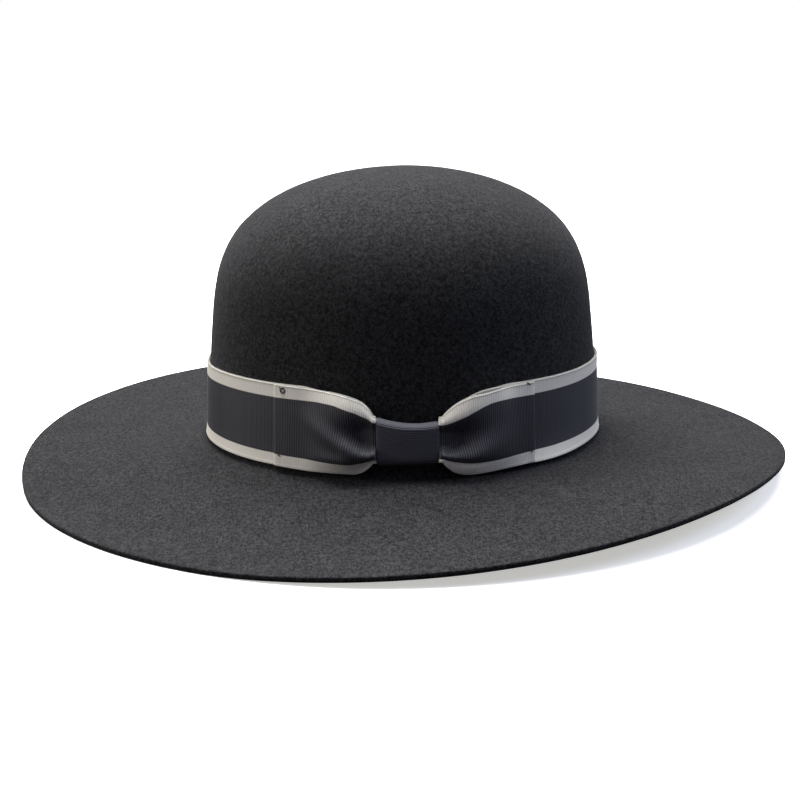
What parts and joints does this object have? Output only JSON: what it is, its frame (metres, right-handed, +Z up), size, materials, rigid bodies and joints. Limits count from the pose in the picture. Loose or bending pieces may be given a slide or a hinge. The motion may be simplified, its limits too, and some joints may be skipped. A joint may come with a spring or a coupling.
{
  "type": "felt floppy hat",
  "caption": "Wide-brimmed felt hat with a round open crown, a slowly waved brim, and a striped grosgrain ribbon with a flat bow and knot at the front.",
  "frame": {"origin": "on the surface that the hat rests on, below the middle of the brim's outline", "axes": "+Z up along the crown, -Y towards the front with the bow, +X to the left of someone who wears it, Y along the head's length"},
  "size_m": [0.3436, 0.3844, 0.1313],
  "materials": {
    "felt": "charcoal black wool felt with a fine short nap, matte, raw cut edge",
    "striped_ribbon": "grosgrain ribbon with fine upright ribs, charcoal middle between cream borders, soft silky sheen",
    "dark_ribbon": "plain charcoal grosgrain ribbon, ribs across the knot, soft silky sheen"
  },
  "bodies": {
    "root": {"felt_body": "felt", "ribbon_band": "striped_ribbon", "bow": "striped_ribbon", "bow_knot": "dark_ribbon"}
  },
  "joints": []
}
